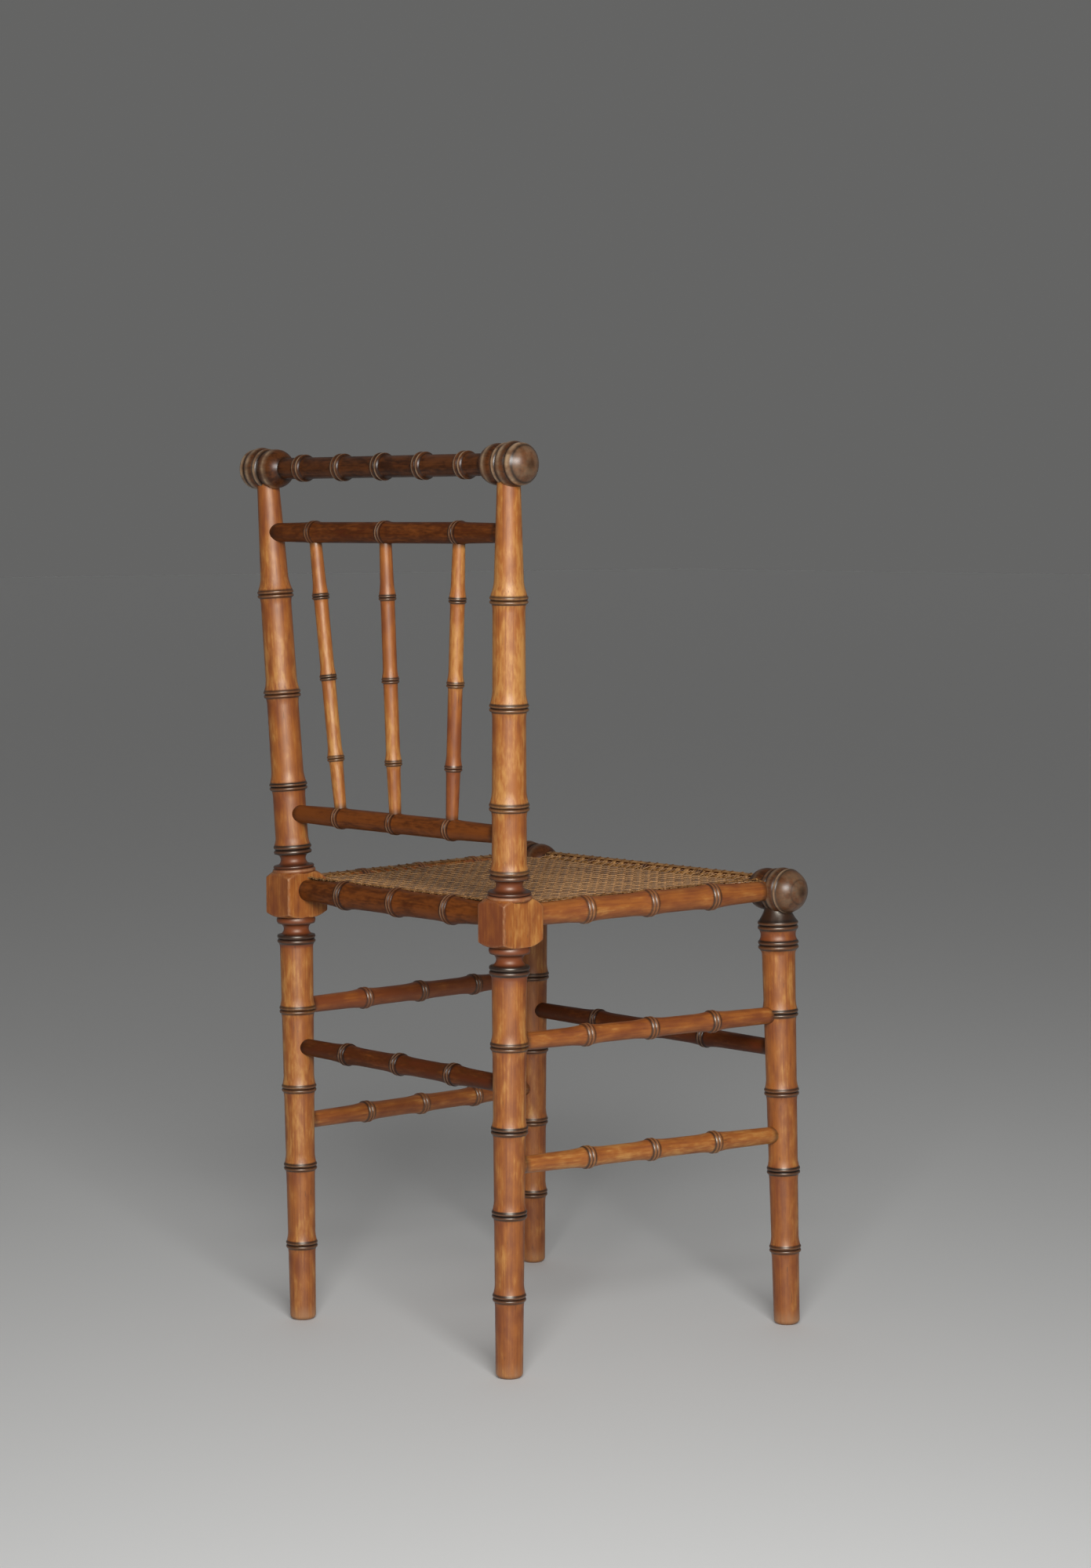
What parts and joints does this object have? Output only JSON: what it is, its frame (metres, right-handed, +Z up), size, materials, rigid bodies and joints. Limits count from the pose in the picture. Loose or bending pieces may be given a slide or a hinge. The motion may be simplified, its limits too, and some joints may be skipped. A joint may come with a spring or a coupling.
{
  "type": "side chair",
  "caption": "Faux bamboo side chair: turned and ringed legs, posts, rails and stretchers, a fanned spindle back under a bulb-ended crest rail, and a woven cane seat.",
  "frame": {"origin": "middle of the chair's footprint, on the floor", "axes": "+Z up, the sitter faces -Y, the sitter's left is +X"},
  "size_m": [0.4322, 0.4036, 0.8813],
  "materials": {
    "honey_wood": "waxed",
    "red_brown_wood": "waxed",
    "dark_wood": "waxed",
    "cane": "satin"
  },
  "bodies": {
    "root": {"rear_post_left": "honey_wood", "rear_post_right": "honey_wood", "front_leg_left": "honey_wood", "front_leg_right": "honey_wood", "spindle_left": "honey_wood", "spindle_middle": "honey_wood", "spindle_right": "honey_wood", "side_seat_rail_left": "honey_wood", "side_seat_rail_right": "honey_wood", "upper_side_stretcher_left": "honey_wood", "upper_side_stretcher_right": "honey_wood", "lower_side_stretcher_left": "honey_wood", "lower_side_stretcher_right": "honey_wood", "upper_back_rail": "red_brown_wood", "lower_back_rail": "red_brown_wood", "rear_seat_rail": "red_brown_wood", "rear_stretcher": "red_brown_wood", "front_stretcher": "red_brown_wood", "crest_rail": "dark_wood", "front_seat_rail": "dark_wood", "cane_seat": "cane"}
  },
  "joints": []
}
